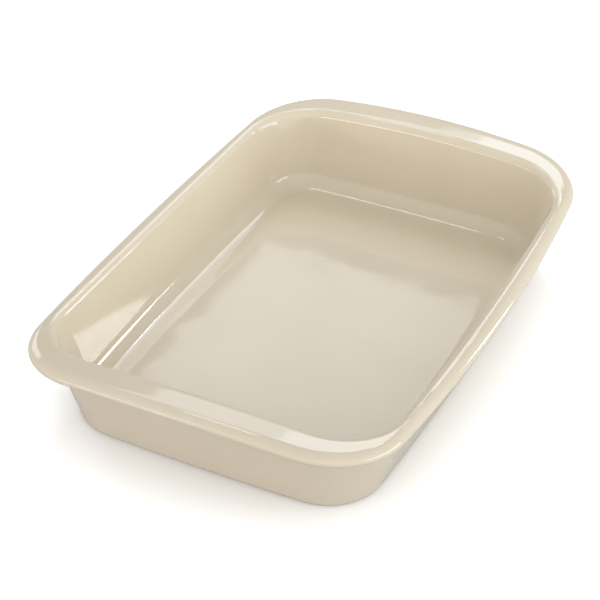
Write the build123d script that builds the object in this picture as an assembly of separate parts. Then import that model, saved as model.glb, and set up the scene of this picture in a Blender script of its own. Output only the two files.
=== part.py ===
from build123d import *
import math
import os

# A glazed stoneware baking dish: a deep basin with drafted walls, a rim that is narrow along the
# sides and widens into a grip at each end, and a bare foot ring under the floor.
# X runs along the length, Y across the width and Z up. The origin is the middle of the foot ring's
# flat underside, so the dish stands on the plane z = 0.

# Rim, seen from above. A turn is the angle in degrees that a bowed end or side bends through,
# from its middle to its corner.
overall_length = 381.0
overall_width = 259.0
rim_end_turn = 4.1
rim_side_turn = 4.7
rim_corner_radius = 53.0

# Rim, seen from the side: its top rises towards the ends and dips towards the middle of the sides
rim_height = 64.0
rim_end_rise = 5.0
rim_side_dip = 8.3
rim_thickness = 7.4

# Lip, the rim's outer edge: the top falls away, rounds over, and rounds again underneath
lip_fall_width = 5.0
lip_fall_depth = 2.2
lip_crown_radius = 8.0
lip_edge_radius = 3.0
lip_under_radius = 2.2

# Opening of the basin at the crest of the rim
opening_length = 333.0
opening_width = 234.0
opening_corner_radius = 42.0
inner_roll_radius = 6.0
under_rim_radius = 2.5

# Basin wall and floor
wall_end_turn = 1.9
wall_side_turn = 2.7
wall_thickness = 6.0
floor_thickness = 6.5
floor_fillet_radius = 14.0

# Foot
foot_length = 315.0
foot_width = 211.0
foot_corner_radius = 36.0
foot_edge_radius = 3.0
foot_ring_width = 9.0
foot_ring_radius = 1.0
foot_recess = 2.0

# Glaze: its thickness, how far above the table the outer coat stops, and how far down the lip's
# thickness the two coats meet
glaze_thickness = 0.5
glaze_stop_height = 1.6
glaze_joint_share = 0.63

# Overrun of every cut past the solid that it cuts
overrun = 20.0

half_length = overall_length / 2
half_width = overall_width / 2
end_sweep_radius = (half_length ** 2 + rim_end_rise ** 2) / (2 * rim_end_rise)
side_crown_radius = (half_width ** 2 + rim_side_dip ** 2) / (2 * rim_side_dip)
floor_height = foot_recess + floor_thickness
cut_top = rim_height + rim_end_rise + overrun


def bowed_outline(half_x, half_y, end_turn, side_turn, corner, height):
    """Closed outline of eight tangent arcs: two bowed ends, two bowed sides, four corners.

    Each end turns through end_turn from its middle to its corner, and each side through side_turn.
    Outlines with the same turns at two heights are joined by walls that are smooth all the way round.
    """
    end_angle = math.radians(end_turn)
    side_angle = math.radians(side_turn)
    lean = math.tan(side_angle / 2)
    end_rest = (half_y - corner - lean * (half_x - corner)) / (
        math.sin(end_angle) - lean * (1 - math.cos(end_angle)))
    side_rest = (half_x - corner - end_rest * (1 - math.cos(end_angle))) / math.sin(side_angle)
    corner_centre = Vector(side_rest * math.sin(side_angle), end_rest * math.sin(end_angle))
    middle_angle = (math.pi / 2 - side_angle + end_angle) / 2
    end_point = corner_centre + Vector(math.cos(end_angle), math.sin(end_angle)) * corner
    corner_point = corner_centre + Vector(math.cos(middle_angle), math.sin(middle_angle)) * corner
    side_point = corner_centre + Vector(math.sin(side_angle), math.cos(side_angle)) * corner

    def at(point, mirror_x, mirror_y):
        return Vector(point.X * mirror_x, point.Y * mirror_y, height)

    edges = [
        Edge.make_three_point_arc(at(end_point, 1, -1), Vector(half_x, 0, height), at(end_point, 1, 1)),
        Edge.make_three_point_arc(at(end_point, 1, 1), at(corner_point, 1, 1), at(side_point, 1, 1)),
        Edge.make_three_point_arc(at(side_point, 1, 1), Vector(0, half_y, height), at(side_point, -1, 1)),
        Edge.make_three_point_arc(at(side_point, -1, 1), at(corner_point, -1, 1), at(end_point, -1, 1)),
        Edge.make_three_point_arc(at(end_point, -1, 1), Vector(-half_x, 0, height), at(end_point, -1, -1)),
        Edge.make_three_point_arc(at(end_point, -1, -1), at(corner_point, -1, -1), at(side_point, -1, -1)),
        Edge.make_three_point_arc(at(side_point, -1, -1), Vector(0, -half_y, height), at(side_point, 1, -1)),
        Edge.make_three_point_arc(at(side_point, 1, -1), at(corner_point, 1, -1), at(end_point, 1, -1)),
    ]
    return Wire(edges)


def blend(low, high, share):
    """Value that lies the given share of the way from low to high."""
    return low + (high - low) * share


def wall_outline(height, inset):
    """Outline of the basin's outer wall at a height, moved in by inset.

    The wall grows in a straight line from the foot's outline on the table to the outline at the
    crest of the rim, which the ends meet higher up than the sides do.
    """
    end_share = height / (rim_height + rim_end_rise)
    side_share = height / (rim_height - rim_side_dip)
    shape_share = height / rim_height
    return bowed_outline(
        blend(foot_length, opening_length + 2 * wall_thickness, end_share) / 2 - inset,
        blend(foot_width, opening_width + 2 * wall_thickness, side_share) / 2 - inset,
        wall_end_turn,
        wall_side_turn,
        blend(foot_corner_radius, opening_corner_radius + wall_thickness, shape_share) - inset,
        height,
    )


def drafted_block(low_z, inset, bottom_radius):
    """Solid inside the wall's outline, from low_z up past the rim, with its bottom edge rounded."""
    block = Solid.make_loft([wall_outline(low_z, inset), wall_outline(cut_top, inset)], ruled=True)
    return block.fillet(bottom_radius, block.faces().sort_by(Axis.Z)[0].edges())


def below_saddle(drop):
    """Everything under the rim's saddle-shaped top, lowered square to itself by drop."""
    reach = half_width + overrun
    crown_radius = side_crown_radius - drop
    crown_top = rim_height - drop
    edge_z = crown_top - crown_radius + math.sqrt(crown_radius ** 2 - reach ** 2)
    profile = Wire([
        Edge.make_three_point_arc((0, -reach, edge_z), (0, 0, crown_top), (0, reach, edge_z)),
        Edge.make_line((0, reach, edge_z), (0, reach, -overrun)),
        Edge.make_line((0, reach, -overrun), (0, -reach, -overrun)),
        Edge.make_line((0, -reach, -overrun), (0, -reach, edge_z)),
    ])
    axis = Axis((0, 0, rim_height + end_sweep_radius), (0, 1, 0))
    half_turn = math.degrees(math.asin((half_length + overrun) / end_sweep_radius))
    start = Face(profile).rotate(axis, -half_turn)
    return revolve(start, axis, revolution_arc=2 * half_turn).solid()


def prism(outline, high_z):
    """Upright solid on an outline, up to high_z."""
    face = Face(outline)
    return Solid.extrude(face, Vector(0, 0, high_z - face.center().Z))


def rim_outline(skin):
    """The rim's outer edge seen from above, moved in by skin."""
    return bowed_outline(half_length - skin, half_width - skin, rim_end_turn, rim_side_turn,
                         rim_corner_radius - skin, 0)


def edge_loop(plate, place):
    """Edges along the top (place -1) or the bottom (place 0) of the plate's upright edge faces."""
    return [face.edges().sort_by(lambda edge: edge.center().Z)[place]
            for face in plate.faces().filter_by(GeomType.CYLINDER)]


def rim_plate(skin):
    """Saddle-shaped plate with a rounded lip, moved in by skin; the rim is its outer part."""
    plate = prism(rim_outline(skin), cut_top) & below_saddle(skin)
    plate = (plate - below_saddle(rim_thickness - skin)).solid()
    fall_angle = math.atan2(lip_fall_depth, lip_fall_width)
    fall_width = lip_fall_width - skin * (1 - math.tan(fall_angle / 2))
    fall_depth = lip_fall_depth - skin * (1 - math.tan(math.pi / 4 - fall_angle / 2))
    top = plate.faces().sort_by(SortBy.AREA)[-2:].sort_by(Axis.Z)[-1]
    plate = plate.chamfer(fall_width, fall_depth, top.edges(), top)
    top = plate.faces().sort_by(SortBy.AREA)[-2:].sort_by(Axis.Z)[-1]
    plate = plate.fillet(lip_crown_radius - skin, top.edges())
    plate = plate.fillet(lip_edge_radius - skin, edge_loop(plate, -1))
    return plate.fillet(lip_under_radius - skin, edge_loop(plate, 0))


def dish_form(skin):
    """The whole dish without its foot recess, every surface but the table's moved in by skin."""
    wall = drafted_block(0, skin, foot_edge_radius - skin) & below_saddle(rim_thickness / 2)
    plate = rim_plate(skin)
    form = (plate + wall).solid()
    under_rim = [edge for edge in new_edges(plate, wall, combined=form)
                 if edge.center().Z > floor_height]
    form = form.fillet(under_rim_radius + skin, under_rim)
    basin = drafted_block(floor_height - skin, wall_thickness - skin, floor_fillet_radius + skin)
    hollow = (form - basin).solid()
    crest = [edge for edge in new_edges(form, basin, combined=hollow)
             if edge.center().Z > floor_height + floor_fillet_radius]
    return hollow.fillet(inner_roll_radius - skin, crest)


def foot_recess_block(low_z, high_z):
    """The space inside the foot ring, between two heights."""
    return prism(wall_outline(0, foot_ring_width).moved(Location((0, 0, low_z))), high_z)


def stoneware_body(clay_form):
    """The fired clay: the form under the glaze, with the recess that leaves the foot ring."""
    recess = foot_recess_block(-overrun, foot_recess + glaze_thickness)
    body = (clay_form - recess).solid()
    ring_edges = [edge for edge in new_edges(clay_form, recess, combined=body)
                  if edge.center().Z < foot_recess / 2]
    return body.fillet(foot_ring_radius, ring_edges)


def outer_zone():
    """The space of the outer coat: outside the middle of the wall, below the joint round the lip."""
    inside = drafted_block(floor_height / 2, wall_thickness / 2, floor_fillet_radius)
    return below_saddle(glaze_joint_share * rim_thickness) - inside


glazed_form = dish_form(0)
clay_form = dish_form(glaze_thickness)
coat = glazed_form - clay_form
zone = outer_zone()
bare_foot = prism(rim_outline(0).moved(Location((0, 0, -overrun))), glaze_stop_height)

parts = {
    "stoneware_body": stoneware_body(clay_form),
    "liner_glaze": coat - zone,
    "outer_glaze": (coat & zone) - bare_foot,
    "underside_glaze": foot_recess_block(foot_recess, foot_recess + glaze_thickness),
}

os.makedirs("parts", exist_ok=True)
for name, shape in parts.items():
    solids = shape.solids()
    print(name, len(solids), "solid, volume", round(sum(solid.volume for solid in solids)), "mm3")
    export_step(Compound(solids) if len(solids) > 1 else solids[0], f"parts/{name}.step")
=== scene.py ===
# %% [markdown]
# # A lasagna dish in glazed stoneware
# The dish is pressed from clay, dried, glazed and fired. Four things can be told apart on it: the
# fired clay, the coat of glaze that lines the basin and runs over the rim, the coat on the outside,
# and the patch of glaze under the floor. Each is a piece of its own here, in metres, in the same
# place as its solid in the frame.

# %% Load the frame
import math

import bmesh
import bpy
import numpy as np
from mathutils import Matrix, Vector, noise


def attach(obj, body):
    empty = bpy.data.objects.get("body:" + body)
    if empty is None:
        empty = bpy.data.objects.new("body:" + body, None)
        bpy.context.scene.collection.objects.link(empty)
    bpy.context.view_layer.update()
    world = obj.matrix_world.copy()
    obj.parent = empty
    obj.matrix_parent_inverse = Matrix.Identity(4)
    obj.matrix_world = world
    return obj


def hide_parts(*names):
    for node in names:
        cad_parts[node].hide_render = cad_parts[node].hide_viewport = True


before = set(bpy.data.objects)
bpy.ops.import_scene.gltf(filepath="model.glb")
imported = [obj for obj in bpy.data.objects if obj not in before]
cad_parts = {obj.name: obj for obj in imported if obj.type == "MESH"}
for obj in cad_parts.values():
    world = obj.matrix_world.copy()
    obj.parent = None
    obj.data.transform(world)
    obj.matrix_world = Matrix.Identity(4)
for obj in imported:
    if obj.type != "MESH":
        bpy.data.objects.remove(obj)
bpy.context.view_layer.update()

# %% [markdown]
# ## Sizes
# The sizes are those of the solids, so that a piece made here lies where its solid lies. The rim
# is a saddle: its top rises to the ends, where the hands go, and dips to the middle of the sides.

# %% Sizes of the rim and the lip
overall_length, overall_width = 0.381, 0.259
rim_end_turn, rim_side_turn, rim_corner_radius = 4.1, 4.7, 0.053
rim_height, rim_end_rise, rim_side_dip, rim_thickness = 0.064, 0.005, 0.0083, 0.0074
lip_end_reach, lip_side_reach, lip_depth, lip_under_reach = 0.008, 0.006, 0.004, 0.0032

# %% Sizes of the basin, the foot and the glaze
opening_length, opening_width, opening_corner_radius = 0.333, 0.234, 0.042
inner_roll_radius, under_rim_radius = 0.006, 0.0025
wall_end_turn, wall_side_turn, wall_thickness = 1.9, 2.7, 0.006
floor_height, floor_fillet_radius = 0.0085, 0.014
foot_length, foot_width, foot_corner_radius = 0.315, 0.211, 0.036
foot_edge_radius, foot_ring_width, foot_ring_radius, foot_recess = 0.003, 0.009, 0.001, 0.002
glaze_thickness, glaze_stop_height = 0.0005, 0.0016

# %% [markdown]
# ## One outline for every height
# Seen from above, the dish is a rectangle with bowed ends, bowed sides and round corners: eight
# arcs that run smoothly into each other. One function gives a quarter of that outline, and the
# direction that each point faces. All rings of the mesh come from it, with the same number of
# points on each arc, so the mesh's lines run straight down the walls and never twist.

# %% A quarter of the outline
end_steps, corner_steps, side_steps = 18, 32, 30
quarter_steps = end_steps + corner_steps + side_steps
point_number = np.arange(quarter_steps + 1)
on_end = point_number < end_steps
on_side = point_number > end_steps + corner_steps


def outline_quarter(half_x, half_y, end_turn, side_turn, corner):
    """Points of a quarter outline, and which way each of them faces."""
    end_angle, side_angle = math.radians(end_turn), math.radians(side_turn)
    lean = math.tan(side_angle / 2)
    end_rest = (half_y - corner - lean * (half_x - corner)) / (
        math.sin(end_angle) - lean * (1 - math.cos(end_angle)))
    side_rest = (half_x - corner - end_rest * (1 - math.cos(end_angle))) / math.sin(side_angle)
    facing = np.concatenate([
        np.linspace(0, end_angle, end_steps, endpoint=False),
        np.linspace(end_angle, math.pi / 2 - side_angle, corner_steps, endpoint=False),
        np.linspace(math.pi / 2 - side_angle, math.pi / 2, side_steps + 1),
    ])
    end_radius, side_radius = end_rest + corner, side_rest + corner
    radius = np.where(on_end, end_radius, np.where(on_side, side_radius, corner))
    centre_x = np.where(on_end, half_x - end_radius,
                        np.where(on_side, 0, side_rest * math.sin(side_angle)))
    centre_y = np.where(on_end, 0,
                        np.where(on_side, half_y - side_radius, end_rest * math.sin(end_angle)))
    out = np.column_stack([np.cos(facing), np.sin(facing)])
    return np.column_stack([centre_x, centre_y]) + out * radius[:, None], out


def whole_ring(plan, height):
    """The closed ring of points whose first quarter is given, mirrored to the other three."""
    quarter = np.column_stack([plan, height])
    back = quarter[:0:-1]
    return np.concatenate([quarter[:-1], back * (-1, 1, 1),
                           quarter[:-1] * (-1, -1, 1), back * (1, -1, 1)])


print("points round each ring", 4 * quarter_steps)

# %% The wall and the rim's outline and height
half_length, half_width = overall_length / 2, overall_width / 2
end_sweep_radius = (half_length ** 2 + rim_end_rise ** 2) / (2 * rim_end_rise)
side_crown_radius = (half_width ** 2 + rim_side_dip ** 2) / (2 * rim_side_dip)


def blend(low, high, share):
    """Value that lies the given share of the way from low to high."""
    return low + (high - low) * share


def wall_plan(height, inset):
    """The wall's outer face at a height, moved in by inset, and which way it faces."""
    end_share = height / (rim_height + rim_end_rise)
    side_share = height / (rim_height - rim_side_dip)
    corner_share = height / rim_height
    return outline_quarter(
        blend(foot_length, opening_length + 2 * wall_thickness, end_share) / 2 - inset,
        blend(foot_width, opening_width + 2 * wall_thickness, side_share) / 2 - inset,
        wall_end_turn, wall_side_turn,
        blend(foot_corner_radius, opening_corner_radius + wall_thickness, corner_share) - inset)


def rim_plan(skin):
    """The rim's outer edge, moved in by skin, and which way it faces."""
    return outline_quarter(half_length - skin, half_width - skin, rim_end_turn, rim_side_turn,
                           rim_corner_radius - skin)


def saddle(plan):
    """Height of the rim's saddle-shaped top over a point."""
    sweep = end_sweep_radius + side_crown_radius - np.sqrt(side_crown_radius ** 2 - plan[:, 1] ** 2)
    return rim_height + end_sweep_radius - np.sqrt(sweep ** 2 - plan[:, 0] ** 2)


print("rim height at an end", round(float(saddle(rim_plan(0)[0])[0]), 4), "and at a side",
      round(float(saddle(rim_plan(0)[0])[-1]), 4))

# %% [markdown]
# ## The cross-section, as a row of rings
# A potter's rib gives a dish its cross-section. Here each step of the cross-section is a ring that
# runs once round the dish: across the floor, up the fillet and the wall, over the roll, the rim and
# the lip, then back under the rim and down the outside. A skin moves every surface inwards, so the
# same rings make the clay under the glaze and the glaze on top of it.

# %% Where the wall meets the saddle, and how much it leans
settling_rounds = 8


def wall_below_saddle(drop, inset):
    """Where the wall is when it is that far below the saddle: its plan, height and facing.

    The height comes from the plan and the plan from the height, so a few rounds settle both.
    """
    height = np.full(quarter_steps + 1, rim_height)
    for _ in range(settling_rounds):
        plan, out = wall_plan(height, inset)
        height = saddle(plan) - drop
    return plan, height, out


def draft():
    """How far the wall leans out for each metre that it rises."""
    low, out = wall_plan(np.zeros(quarter_steps + 1), 0)
    high, _ = wall_plan(np.full(quarter_steps + 1, rim_height), 0)
    return ((high - low) * out).sum(axis=1) / rim_height


print("the wall leans out", round(math.degrees(math.atan(draft()[0])), 1), "degrees at an end and",
      round(math.degrees(math.atan(draft()[-1])), 1), "at a side")

# %% Rings of the basin
floor_steps, fillet_steps, wall_steps, basin_roll_steps = 20, 14, 22, 14
middle_share = 0.04


def floor_rings(skin):
    """Rings from the middle of the floor out to where the fillet starts."""
    height = np.full(quarter_steps + 1, floor_height - skin)
    edge, out = wall_plan(height, wall_thickness - skin)
    lean = draft()
    edge = edge - out * ((floor_fillet_radius + skin) * (np.sqrt(1 + lean ** 2) - lean))[:, None]
    middle = edge * (1 - edge[-1, 1] / edge[0, 0], 0)
    return [whole_ring(middle + (edge - middle) * share, height)
            for share in np.linspace(middle_share, 1, floor_steps, endpoint=False)]


def basin_wall_rings(skin):
    """Rings up the floor fillet, the wall and over the roll at the edge of the opening."""
    inset, lean = wall_thickness - skin, draft()
    radius = floor_fillet_radius + skin
    turn = math.pi / 2 - np.arctan(lean)
    rings = []
    for share in np.linspace(0, 1, fillet_steps + 1):
        rise = radius * (1 - np.cos(turn * share))
        out_by = radius * (np.sin(turn * share) + lean - np.sqrt(1 + lean ** 2))
        height = floor_height - skin + rise
        plan, out = wall_plan(height, inset)
        rings.append(whole_ring(plan + out * (out_by - lean * rise)[:, None], height))
    fillet_top = height
    roll = roll_rings(inner_roll_radius - skin, skin, inset, basin_roll_steps)
    for share in np.linspace(0, 1, wall_steps, endpoint=False)[1:]:
        height = blend(fillet_top, roll[0][:quarter_steps + 1, 2], share)
        rings.append(whole_ring(wall_plan(height, inset)[0], height))
    return rings + roll


def roll_rings(radius, start_drop, inset, steps):
    """Rings from the wall, round an edge of that radius, on to a face that follows the saddle."""
    corner, _, out = wall_below_saddle(start_drop, inset)
    lower = wall_below_saddle(start_drop + radius, inset)[0]
    lean = ((corner - lower) * out).sum(axis=1) / radius
    turn = math.pi / 2 - np.arctan(lean)
    reach = radius * np.tan(turn / 2)
    rings = []
    for share in np.linspace(1, 0, steps + 1):
        drop = start_drop + radius * (1 - np.cos(turn * share))
        wall, _, out = wall_below_saddle(drop, inset)
        wall_by = ((wall - corner) * out).sum(axis=1)
        plan = wall + out * (reach - radius * np.sin(turn * share) - wall_by)[:, None]
        rings.append(whole_ring(plan, saddle(plan) - drop))
    return rings


# %% Rings of the rim and the lip
rim_steps, lip_steps = 6, 18


def rim_rings(start, end, drop, steps):
    """Rings from one plan to another, both at the same drop below the saddle."""
    plans = [blend(start, end, share) for share in np.linspace(0, 1, steps + 1)[1:]]
    return [whole_ring(plan, saddle(plan) - drop) for plan in plans]


def quarter_of(ring):
    """The first quarter of a ring, seen from above."""
    return ring[:quarter_steps + 1, :2]


def lip_reach(out):
    """How far in the lip's rounding starts: further on the broad ends than on the narrow sides."""
    return blend(lip_side_reach, lip_end_reach, out[:, :1] ** 2)


def lip_rings(skin):
    """Rings over the crown of the lip, down to its outermost edge."""
    edge, out = rim_plan(skin)
    rings = []
    for angle in np.linspace(0, math.pi / 2, lip_steps + 1)[1:]:
        plan = edge - out * (lip_reach(out) - skin) * (1 - math.sin(angle))
        height = saddle(plan) - skin - (lip_depth - skin) * (1 - math.cos(angle))
        rings.append(whole_ring(plan, height))
    return rings


def under_lip_rings(skin, angles):
    """Rings on the turn from the lip's outermost edge round to the underside of the rim."""
    edge, out = rim_plan(skin)
    rings = []
    for angle in angles:
        plan = edge - out * (lip_under_reach - skin) * (1 - math.cos(angle))
        drop = lip_depth + (rim_thickness - skin - lip_depth) * math.sin(angle)
        rings.append(whole_ring(plan, saddle(plan) - drop))
    return rings


def top_rings(skin):
    """All rings from the middle of the floor to the lip's outermost edge."""
    rings = floor_rings(skin) + basin_wall_rings(skin)
    edge, out = rim_plan(skin)
    lip_start = edge - out * (lip_reach(out) - skin)
    rings += rim_rings(quarter_of(rings[-1]), lip_start, skin, rim_steps)
    return rings + lip_rings(skin)


print("rings on the top of the dish", len(top_rings(0)))

# %% Rings of the outside
under_rim_steps, corner_roll_steps, outer_wall_steps = 5, 8, 18


def foot_edge_ring(skin, angle):
    """The ring that many radians round the outside's rounded lower edge, counted from the table."""
    radius, lean = foot_edge_radius - skin, draft()
    rise = np.full(quarter_steps + 1, radius) * (1 - np.cos(angle))
    plan, out = wall_plan(rise, skin)
    out_by = radius * (np.sin(angle) + lean - np.sqrt(1 + lean ** 2))
    return whole_ring(plan + out * (out_by - lean * rise)[:, None], rise)


def foot_edge_angle(skin, height):
    """How far round that edge a height is."""
    return math.acos(1 - height / (foot_edge_radius - skin))


def outside_rings(skin, foot_steps, foot_low):
    """Rings from the underside of the rim, round the corner below it and down to the foot."""
    drop = rim_thickness - skin
    edge, out = rim_plan(skin)
    corner = roll_rings(under_rim_radius + skin, drop, skin, corner_roll_steps)[::-1]
    lip_end = edge - out * (lip_under_reach - skin)
    rings = rim_rings(lip_end, quarter_of(corner[0]), drop, under_rim_steps)[:-1] + corner
    foot_turn = math.pi / 2 - np.arctan(draft())
    foot_top = (foot_edge_radius - skin) * (1 - np.cos(foot_turn))
    corner_low = corner[-1][:quarter_steps + 1, 2]
    for share in np.linspace(0, 1, outer_wall_steps, endpoint=False)[1:]:
        height = blend(corner_low, foot_top, share)
        rings.append(whole_ring(wall_plan(height, skin)[0], height))
    low_angle = foot_edge_angle(skin, foot_low)
    return rings + [foot_edge_ring(skin, blend(low_angle, foot_turn, share))
                    for share in np.linspace(1, 0, foot_steps + 1)]


print("rings on the outside", len(outside_rings(0, 5, glaze_stop_height)))

# %% [markdown]
# ## From rings to a mesh
# The first ring is a circle that is moved onto the outline, and every next ring is an extrusion of
# the last one. The two ends get a face each or are joined to each other, so each piece is a closed
# body that could be printed. A sharp ring keeps the shading of a visible face clean where a hidden
# one starts.

# %% Extrude rings into a closed piece
def put_ring(order, ring):
    """Moves each vertex to the point of the ring that has its number."""
    for vertex, number in order.items():
        vertex.co = ring[number]


def closed_piece(name, rings, sharp=(), joined=False):
    """A closed mesh through the rings. sharp holds the numbers of rings with a hard edge."""
    form = bmesh.new()
    verts = bmesh.ops.create_circle(form, segments=len(rings[0]), radius=1)["verts"]
    order = {vertex: number for number, vertex in enumerate(verts)}
    put_ring(order, rings[0])
    first = edges = form.edges[:]
    for number, ring in enumerate(rings[1:], 1):
        made = bmesh.ops.extrude_edge_only(form, edges=edges)["geom"]
        verts = [part for part in made if isinstance(part, bmesh.types.BMVert)]
        edges = [part for part in made if isinstance(part, bmesh.types.BMEdge)]
        order = {vertex: next(order[edge.other_vert(vertex)] for edge in vertex.link_edges
                              if edge.other_vert(vertex) in order) for vertex in verts}
        put_ring(order, ring)
        if number in sharp:
            for edge in edges:
                edge.smooth = False
    if joined:
        bmesh.ops.bridge_loops(form, edges=first + edges)
    else:
        bmesh.ops.contextual_create(form, geom=first)
        bmesh.ops.contextual_create(form, geom=edges)
    bmesh.ops.recalc_face_normals(form, faces=form.faces[:])
    for face in form.faces:
        face.smooth = True
    mesh = bpy.data.meshes.new(name)
    form.to_mesh(mesh)
    volume = form.calc_volume()
    form.free()
    piece = bpy.data.objects.new(name, mesh)
    bpy.context.scene.collection.objects.link(piece)
    print(name, len(mesh.polygons), "faces,", round(volume * 1e6, 1), "cm3")
    return piece


# %% [markdown]
# ## The fired clay
# The body carries everything. Only its foot ring shows, because a dish can't stand on wet glaze in
# the kiln. It follows the rings one skin below the glaze, then turns in under the foot ring and up
# into the shallow recess inside it.

# %% Where the two coats meet under the lip
joint_angle, joint_gap, under_lip_steps = 0.25, 0.02, 15
above_joint = [joint_angle / 3, joint_angle * 2 / 3, joint_angle - joint_gap, joint_angle]
below_joint = [joint_angle, joint_angle + joint_gap,
               *np.linspace(joint_angle, math.pi / 2, under_lip_steps + 1)[1:]]
print("the coats meet", round(math.degrees(joint_angle), 1),
      "degrees under the lip's outermost edge")

# %% Make the body
skin = glaze_thickness
body_foot_steps, ring_edge_steps = 8, 5


def ring_inside_foot(inset, height):
    """A level ring that far inside the foot's outline."""
    plan, _ = wall_plan(np.zeros(quarter_steps + 1), inset)
    return whole_ring(plan, np.full(quarter_steps + 1, height))


body_rings = top_rings(skin) + under_lip_rings(skin, above_joint + below_joint[1:])
body_rings += outside_rings(skin, body_foot_steps, 0)
body_rings.append(ring_inside_foot(foot_ring_width - foot_ring_radius, 0))
for angle in np.linspace(0, math.pi / 2, ring_edge_steps + 1)[1:]:
    body_rings.append(ring_inside_foot(foot_ring_width - foot_ring_radius * (1 - math.sin(angle)),
                                       foot_ring_radius * (1 - math.cos(angle))))
body_rings.append(ring_inside_foot(foot_ring_width, foot_recess + skin))
body = closed_piece("stoneware_clay", body_rings, sharp=(len(body_rings) - 1,))

# %% [markdown]
# ## The glaze that lines the basin
# The basin, the rim and the crown of the lip are one coat. It could be the clay's mesh made
# thicker, but two rows of rings, one on each side of the coat, fit the clay exactly. The coats
# meet a little under the lip, where a close pair of rings keeps the shine unbroken across the
# joint. Melted glaze is never quite flat. Its top is pushed out and in by a few hundredths of a
# millimetre, which is enough to bend the edge of a reflection.

# %% Slow waves in the glaze
wave_length, wave_height, wave_fade_rings = 0.020, 0.00004, 24


def rolling(rings):
    """The same rings with the fired glaze's slow waves, which die out towards the lip."""
    grid = np.array(rings)
    along = np.roll(grid, -1, axis=1) - np.roll(grid, 1, axis=1)
    across = np.gradient(grid, axis=0)
    normal = np.cross(across, along)
    normal /= np.linalg.norm(normal, axis=2)[:, :, None]
    lift = np.array([[noise.noise(Vector(point) / wave_length) for point in ring] for ring in grid])
    fade = np.clip((len(rings) - 1 - np.arange(len(rings))) / wave_fade_rings, 0, 1)
    low, high = lift.min() * wave_height * 1000, lift.max() * wave_height * 1000
    print("waves from", round(low, 3), "to", round(high, 3), "mm")
    return list(grid + normal * (lift * fade[:, None])[:, :, None] * wave_height)


# %% Make the liner
liner_out = rolling(top_rings(0)) + under_lip_rings(0, above_joint)
liner_in = top_rings(skin) + under_lip_rings(skin, above_joint)
liner = closed_piece("liner_glaze_coat", liner_out + liner_in[::-1],
                     sharp=(len(liner_out) - 1, len(liner_out)))

# %% [markdown]
# ## The glaze outside
# It starts where the liner ends and stops just above the table. Fired glaze thins to a rounded
# edge there, so the last few rings turn in to the clay.

# %% Make the outer coat
coat_foot_steps, edge_steps, edge_bulge = 5, 4, 0.00025
outer_out = under_lip_rings(0, below_joint)
outer_out += outside_rings(0, coat_foot_steps, glaze_stop_height)
for share in np.linspace(0, 1, edge_steps + 1)[1:-1]:
    height = glaze_stop_height - edge_bulge * math.sin(math.pi * share)
    outer_out.append(foot_edge_ring(skin * share, foot_edge_angle(skin * share, height)))
outer_in = under_lip_rings(skin, below_joint)
outer_in += outside_rings(skin, coat_foot_steps, glaze_stop_height)
outer = closed_piece("outer_glaze_coat", outer_out + outer_in[::-1],
                     sharp=(len(outer_out),), joined=True)

# %% [markdown]
# ## The glaze under the floor
# The recess inside the foot ring gets a patch of glaze of its own. It can't touch the kiln's shelf,
# so it may stay. Its edge is rounded, as glaze pulls together when it melts. The edge's points are
# given in shares of the glaze's thickness: how far in from the foot ring, and how far up.

# %% Make the patch under the floor
patch_edge = ((0, 1), (0, 0.4), (0.3, 0.1), (1, 0))
patch_rings = [ring_inside_foot(foot_ring_width + skin * share_in, foot_recess + skin * share_up)
               for share_in, share_up in patch_edge]
patch = closed_piece("underside_glaze_patch", patch_rings, sharp=(0,))

# %% [markdown]
# ## Putting the pieces in place of the solids
# Each piece rides on the dish's one body, and the solid that it stands in for is hidden.

# %% Hide the solid that each piece stands in for
for piece, node, finish in (
        (body, "stoneware_body", "fired_clay"), (liner, "liner_glaze", "liner_glaze"),
        (outer, "outer_glaze", "outer_glaze"), (patch, "underside_glaze", "underside_glaze")):
    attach(piece, "root")
    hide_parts(node)

# %% [markdown]
# ## The glaze's finish
# A cream glaze is a hard, shiny skin with colour in it. Its colour drifts a little over a few
# centimetres, as glaze lies thicker in one place than in another. A shallow bump adds slow waves
# and a finer ripple to the ones in the mesh, so the edges of reflections are never quite straight.
# The patch underneath was wiped, so it is less shiny.

# %% Node helpers
def new_material(name):
    """A new node material, with its nodes and links at hand."""
    material = bpy.data.materials.new(name)
    material.use_nodes = True
    return material, material.node_tree.nodes, material.node_tree.links


def noise_at(nodes, links, coordinates, scale, detail, roughness=0.5):
    """Noise that sits still on the object, so it doesn't swim when the dish is moved."""
    node = nodes.new("ShaderNodeTexNoise")
    node.inputs["Scale"].default_value = scale
    node.inputs["Detail"].default_value = detail
    node.inputs["Roughness"].default_value = roughness
    links.new(coordinates.outputs["Object"], node.inputs["Vector"])
    return node


def bump_on(nodes, links, height, distance, under=None):
    """A bump of that depth in metres, on top of another one if that is given."""
    node = nodes.new("ShaderNodeBump")
    node.inputs["Distance"].default_value = distance
    links.new(height, node.inputs["Height"])
    if under:
        links.new(under.outputs["Normal"], node.inputs["Normal"])
    return node


# %% Make the glaze
drift_scale, wave_scale, ripple_scale = 14, 22, 160
drift_low, drift_high, glaze_ior = 0.35, 0.65, 1.5


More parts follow.
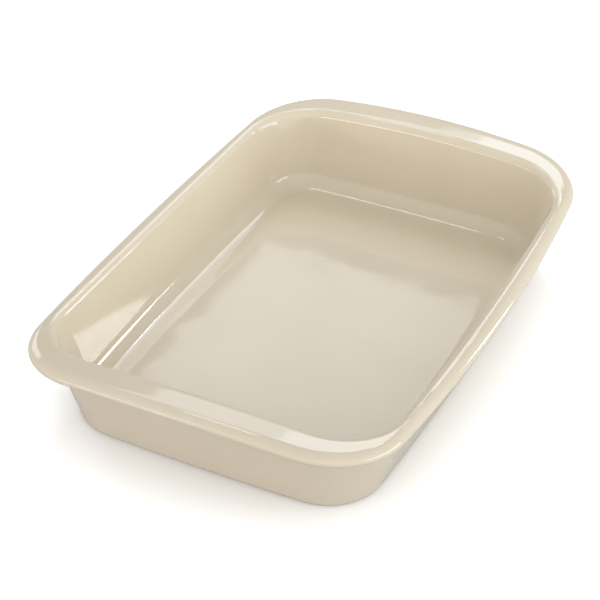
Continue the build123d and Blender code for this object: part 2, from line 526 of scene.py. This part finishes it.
def make_glaze(name, colour_low, colour_high, roughness, wave, ripple):
    """A glaze whose colour drifts between two colours, with two depths of bump."""
    material, nodes, links = new_material(name)
    shader = nodes["Principled BSDF"]
    shader.inputs["Roughness"].default_value = roughness
    shader.inputs["IOR"].default_value = glaze_ior
    coordinates = nodes.new("ShaderNodeTexCoord")
    drift = noise_at(nodes, links, coordinates, drift_scale, 3)
    ramp = nodes.new("ShaderNodeValToRGB")
    low_end, high_end = ramp.color_ramp.elements
    low_end.position, low_end.color = drift_low, (*colour_low, 1)
    high_end.position, high_end.color = drift_high, (*colour_high, 1)
    links.new(drift.outputs["Fac"], ramp.inputs["Fac"])
    links.new(ramp.outputs["Color"], shader.inputs["Base Color"])
    slow_noise = noise_at(nodes, links, coordinates, wave_scale, 1)
    slow = bump_on(nodes, links, slow_noise.outputs["Fac"], wave)
    fine_noise = noise_at(nodes, links, coordinates, ripple_scale, 2)
    fine = bump_on(nodes, links, fine_noise.outputs["Fac"], ripple, under=slow)
    links.new(fine.outputs["Normal"], shader.inputs["Normal"])
    return material


for piece, name, low_colour, high_colour, roughness, wave, ripple in (
        (liner, "liner_glaze_finish",
         (0.620, 0.540, 0.412), (0.640, 0.560, 0.432), 0.05, 0.00008, 0.00001),
        (outer, "outer_glaze_finish",
         (0.620, 0.540, 0.420), (0.640, 0.560, 0.440), 0.06, 0.0004, 0.00002),
        (patch, "underside_glaze_finish",
         (0.58, 0.51, 0.40), (0.62, 0.55, 0.43), 0.16, 0.0004, 0.00003)):
    piece.data.materials.append(make_glaze(name, low_colour, high_colour, roughness, wave, ripple))
    print(name, "with a roughness of", roughness)

# %% [markdown]
# ## The bare clay's finish
# Fired clay without glaze is matt and sandy: fine grains of two colours, and a grainy bump.

# %% Make the bare clay
clay_grain_scale, clay_bump_scale, clay_bump_depth = 900, 2200, 0.0001
clay, clay_nodes, clay_links = new_material("fired_clay_finish")
clay_shader = clay_nodes["Principled BSDF"]
clay_shader.inputs["Roughness"].default_value = 0.85
clay_coordinates = clay_nodes.new("ShaderNodeTexCoord")
clay_ramp = clay_nodes.new("ShaderNodeValToRGB")
clay_ramp.color_ramp.elements[0].color = (0.50, 0.42, 0.31, 1)
clay_ramp.color_ramp.elements[1].color = (0.64, 0.56, 0.44, 1)
clay_speckle = noise_at(clay_nodes, clay_links, clay_coordinates, clay_grain_scale, 4, 0.7)
clay_links.new(clay_speckle.outputs["Fac"], clay_ramp.inputs["Fac"])
clay_links.new(clay_ramp.outputs["Color"], clay_shader.inputs["Base Color"])
clay_grain = noise_at(clay_nodes, clay_links, clay_coordinates, clay_bump_scale, 3)
clay_bump = bump_on(clay_nodes, clay_links, clay_grain.outputs["Fac"], clay_bump_depth)
clay_links.new(clay_bump.outputs["Normal"], clay_shader.inputs["Normal"])
body.data.materials.append(clay)

# %% [markdown]
# ## The paper
# The photograph is a studio shot on white paper. The camera sees paper that is white right up to a
# soft grey shade round the dish. That shade is a painted shadow, on top of the real shadow that the
# lamps cast: an ambient occlusion node finds where the dish is near, and a ramp turns that into a
# darker paper colour. Light that bounces off the paper sees a plainer, greyer one, so that the dish
# isn't lit too strongly from below.

# %% Lay the paper
paper_half_size = 6
floor_form = bmesh.new()
bmesh.ops.create_grid(floor_form, x_segments=1, y_segments=1, size=paper_half_size)
floor_mesh = bpy.data.meshes.new("table_top")
floor_form.to_mesh(floor_mesh)
floor_form.free()
floor = bpy.data.objects.new("table_top", floor_mesh)
bpy.context.scene.collection.objects.link(floor)

print("paper", 2 * paper_half_size, "m wide")

# %% Finish the paper
shade_distance, bounce_grey, glow_strength = 0.09, 0.62, 0.03
paper, paper_nodes, paper_links = new_material("white_paper")
paper_nodes.remove(paper_nodes["Principled BSDF"])
paper_diffuse = paper_nodes.new("ShaderNodeBsdfDiffuse")
paper_shade = paper_nodes.new("ShaderNodeAmbientOcclusion")
paper_shade.inputs["Distance"].default_value = shade_distance
# Painted shadow: this ramp darkens the paper's colour where the dish is near.
paper_painted_shadow_ramp = paper_nodes.new("ShaderNodeValToRGB")
paper_painted_shadow_ramp.color_ramp.elements[0].position, paper_painted_shadow_ramp.color_ramp.elements[1].position = 0.1, 0.76
paper_painted_shadow_ramp.color_ramp.elements[0].color = (0.73, 0.72, 0.70, 1)
paper_painted_shadow_ramp.color_ramp.elements[1].color = (1.36, 1.37, 1.40, 1)
paper_links.new(paper_shade.outputs["AO"], paper_painted_shadow_ramp.inputs["Fac"])
paper_links.new(paper_painted_shadow_ramp.outputs["Color"], paper_diffuse.inputs["Color"])
paper_bounce = paper_nodes.new("ShaderNodeBsdfDiffuse")
paper_bounce.inputs["Color"].default_value = (bounce_grey, bounce_grey, bounce_grey, 1)
paper_glow = paper_nodes.new("ShaderNodeEmission")
paper_glow.inputs["Strength"].default_value = glow_strength
paper_add = paper_nodes.new("ShaderNodeAddShader")
paper_mix = paper_nodes.new("ShaderNodeMixShader")
paper_path = paper_nodes.new("ShaderNodeLightPath")
paper_links.new(paper_diffuse.outputs[0], paper_add.inputs[0])
paper_links.new(paper_glow.outputs[0], paper_add.inputs[1])
paper_links.new(paper_path.outputs["Is Camera Ray"], paper_mix.inputs[0])
paper_links.new(paper_bounce.outputs[0], paper_mix.inputs[1])
paper_links.new(paper_add.outputs[0], paper_mix.inputs[2])
paper_links.new(paper_mix.outputs[0], paper_nodes["Material Output"].inputs["Surface"])
floor.data.materials.append(paper)

# %% [markdown]
# ## The room
# The room is brighter behind the camera and darker past the far end of the dish. One dot product
# says how far a direction points to the dark side, and a map range turns that into a strength. The
# camera itself sees plain white.

# %% Light the room
dark_side = (0.78, 0.30, 0.58)
bright_strength, dark_strength = 1.78, 0.36
world = bpy.data.worlds.new("studio")
bpy.context.scene.world = world
world.use_nodes = True
world_nodes, world_links = world.node_tree.nodes, world.node_tree.links
room = world_nodes["Background"]
room.inputs["Color"].default_value = (1, 1, 1, 1)
room_direction = world_nodes.new("ShaderNodeTexCoord")
room_side = world_nodes.new("ShaderNodeVectorMath")
room_side.operation = "DOT_PRODUCT"
room_side.inputs[1].default_value = dark_side
room_level = world_nodes.new("ShaderNodeMapRange")
room_level.inputs["From Min"].default_value, room_level.inputs["From Max"].default_value = -1, 1
room_level.inputs["To Min"].default_value = bright_strength
room_level.inputs["To Max"].default_value = dark_strength
world_links.new(room_direction.outputs["Generated"], room_side.inputs[0])
world_links.new(room_side.outputs["Value"], room_level.inputs["Value"])
world_links.new(room_level.outputs["Result"], room.inputs["Strength"])
white = world_nodes.new("ShaderNodeBackground")
white.inputs["Color"].default_value = (1, 1, 1, 1)
world_path = world_nodes.new("ShaderNodeLightPath")
world_mix = world_nodes.new("ShaderNodeMixShader")
world_links.new(world_path.outputs["Is Camera Ray"], world_mix.inputs[0])
world_links.new(room.outputs[0], world_mix.inputs[1])
world_links.new(white.outputs[0], world_mix.inputs[2])
world_links.new(world_mix.outputs[0], world_nodes["World Output"].inputs["Surface"])

# %% [markdown]
# ## The lamps
# A glossy dish is drawn by what it mirrors. From the camera, the floor of the basin mirrors the
# far left part of the ceiling, so a soft box there makes the pale patch on it, and the box's far
# edge is the patch's edge. The right rim mirrors a second box beside it, and the fillet under the
# far wall a narrow lamp nearly overhead. Low lamps to the sides light the walls and leave the
# floor alone. A tall narrow lamp and a tiny one make the sharp lines of light in the left fillet.

# %% Lamp helpers
ceiling_height = 1
dish_middle = Vector((0, 0, 0.03))


def soft_lamp(name, place, aim, width, depth, brightness, colour=(1, 1, 1)):
    """A flat oblong lamp that faces aim. Its power follows from its size and brightness."""
    lamp = bpy.data.lights.new(name, "AREA")
    lamp.shape, lamp.size, lamp.size_y = "RECTANGLE", width, depth
    lamp.energy = brightness * math.pi * width * depth
    lamp.color = colour
    thing = bpy.data.objects.new(name, lamp)
    thing.location = place
    thing.rotation_euler = (Vector(aim) - Vector(place)).to_track_quat("-Z", "Y").to_euler()
    thing.visible_camera = False
    bpy.context.scene.collection.objects.link(thing)
    return thing


def overhead_lamp(name, near, far, right, left, brightness, colour):
    """A lamp at ceiling height that looks straight down, its width along the dish's length."""
    place = Vector(((near + far) / 2, (right + left) / 2, ceiling_height))
    thing = soft_lamp(name, place, dish_middle, far - near, left - right, brightness, colour)
    thing.rotation_euler = (0, 0, 0)


def towards(azimuth, elevation, distance):
    """The place that far from the dish in a direction given in degrees."""
    turn, rise = math.radians(azimuth), math.radians(elevation)
    level = math.cos(rise)
    return Vector((math.cos(turn) * level, math.sin(turn) * level, math.sin(rise))) * distance


# %% Hang the overhead lamps
overhead_lamp("left_soft_box", 0.55, 1.37, 0.34, 0.77, 2.0, (0.86, 0.93, 1))
overhead_lamp("left_soft_box_core", 0.80, 1.37, 0.44, 0.77, 8.5, (0.84, 0.92, 1))
overhead_lamp("right_soft_box", 0.75, 1.37, 0.06, 0.38, 4.4, (0.80, 0.90, 1))
overhead_lamp("far_edge_lamp", 0.30, 0.42, 0.26, 0.46, 6, (0.95, 0.99, 1))

# %% Place the low lamps
soft_lamp("left_low_box", towards(62, 22, 2.0), dish_middle, 0.6, 0.6, 2.5)
soft_lamp("right_wall", towards(-82, 13, 1.9), dish_middle, 1.6, 0.6, 5.4, (0.86, 0.94, 1))
soft_lamp("window_lamp", towards(-43.6, 13, 1.6), dish_middle, 0.10, 0.40, 12, (0.97, 0.99, 1))
soft_lamp("low_strip", towards(150, 3, 1.7), dish_middle, 0.7, 0.12, 14)
soft_lamp("small_lamp", (1.31, 0.04, 1.46), dish_middle, 0.05, 0.08, 30)
lamps = [thing for thing in bpy.context.scene.objects if thing.type == "LIGHT"]
print(len(lamps), "lamps,", round(sum(thing.data.energy for thing in lamps), 1), "W in all")

# %% [markdown]
# ## Camera
# A long lens looks down at about 36 degrees over one corner, as in the photograph. Its place and
# lens come from fitting the dish's outlines to the photograph's.

# %% Camera
sensor_width, lens_length = 36, 106.2
camera_azimuth, camera_elevation, camera_distance = -153.3, 35.72, 1.16219
target = Vector((-0.01078, 0.00754, 0.030))
camera_data = bpy.data.cameras.new("camera")
camera_data.sensor_width = sensor_width
camera_data.lens = lens_length
camera = bpy.data.objects.new("camera", camera_data)
back = towards(camera_azimuth, camera_elevation, camera_distance)
camera.location = target + back
camera.rotation_euler = back.to_track_quat("Z", "Y").to_euler()
bpy.context.scene.collection.objects.link(camera)
bpy.context.scene.camera = camera
bpy.context.scene.view_settings.view_transform = "Standard"
print("camera at", [round(value, 4) for value in camera.location])
